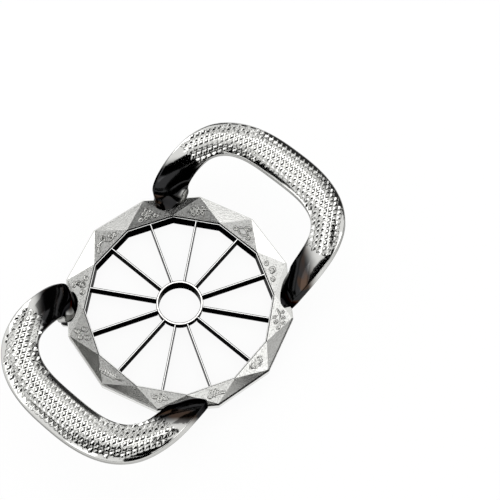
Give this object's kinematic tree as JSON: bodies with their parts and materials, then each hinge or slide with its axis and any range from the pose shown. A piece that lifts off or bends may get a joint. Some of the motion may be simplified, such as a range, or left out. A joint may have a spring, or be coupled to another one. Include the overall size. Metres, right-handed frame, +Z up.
{
  "type": "apple slicer",
  "caption": "Hand apple slicer: a faceted cast ring with radial steel blades and a central coring tube, pressed down by two arched handles with studded grips.",
  "frame": {"origin": "middle of the flat underside, on the table", "axes": "+Z up out of the ring, +X from the middle towards the right handle, +Y along the grips"},
  "size_m": [0.199, 0.1244, 0.046],
  "materials": {
    "satin_casting": "satin, finely stippled plated zinc casting",
    "polished_casting": "mirror polished plated zinc casting",
    "blade_steel": "ground stainless strip",
    "band_steel": "rolled stainless strip",
    "core_steel": "turned stainless tube",
    "clamp_steel": "stamped stainless sheet",
    "screw_steel": "machined stainless"
  },
  "bodies": {
    "root": {"frame_ring": "satin_casting", "blade_band": "band_steel", "core_ring": "core_steel", "blade_01": "blade_steel", "blade_02": "blade_steel", "blade_03": "blade_steel", "blade_04": "blade_steel", "blade_05": "blade_steel", "blade_06": "blade_steel", "blade_07": "blade_steel", "blade_08": "blade_steel", "blade_09": "blade_steel", "blade_10": "blade_steel", "blade_11": "blade_steel", "blade_12": "blade_steel", "clamp_ring": "clamp_steel", "clamp_screws": "screw_steel", "handle_right": "polished_casting", "handle_left": "polished_casting", "handle_screws": "screw_steel"}
  },
  "joints": []
}
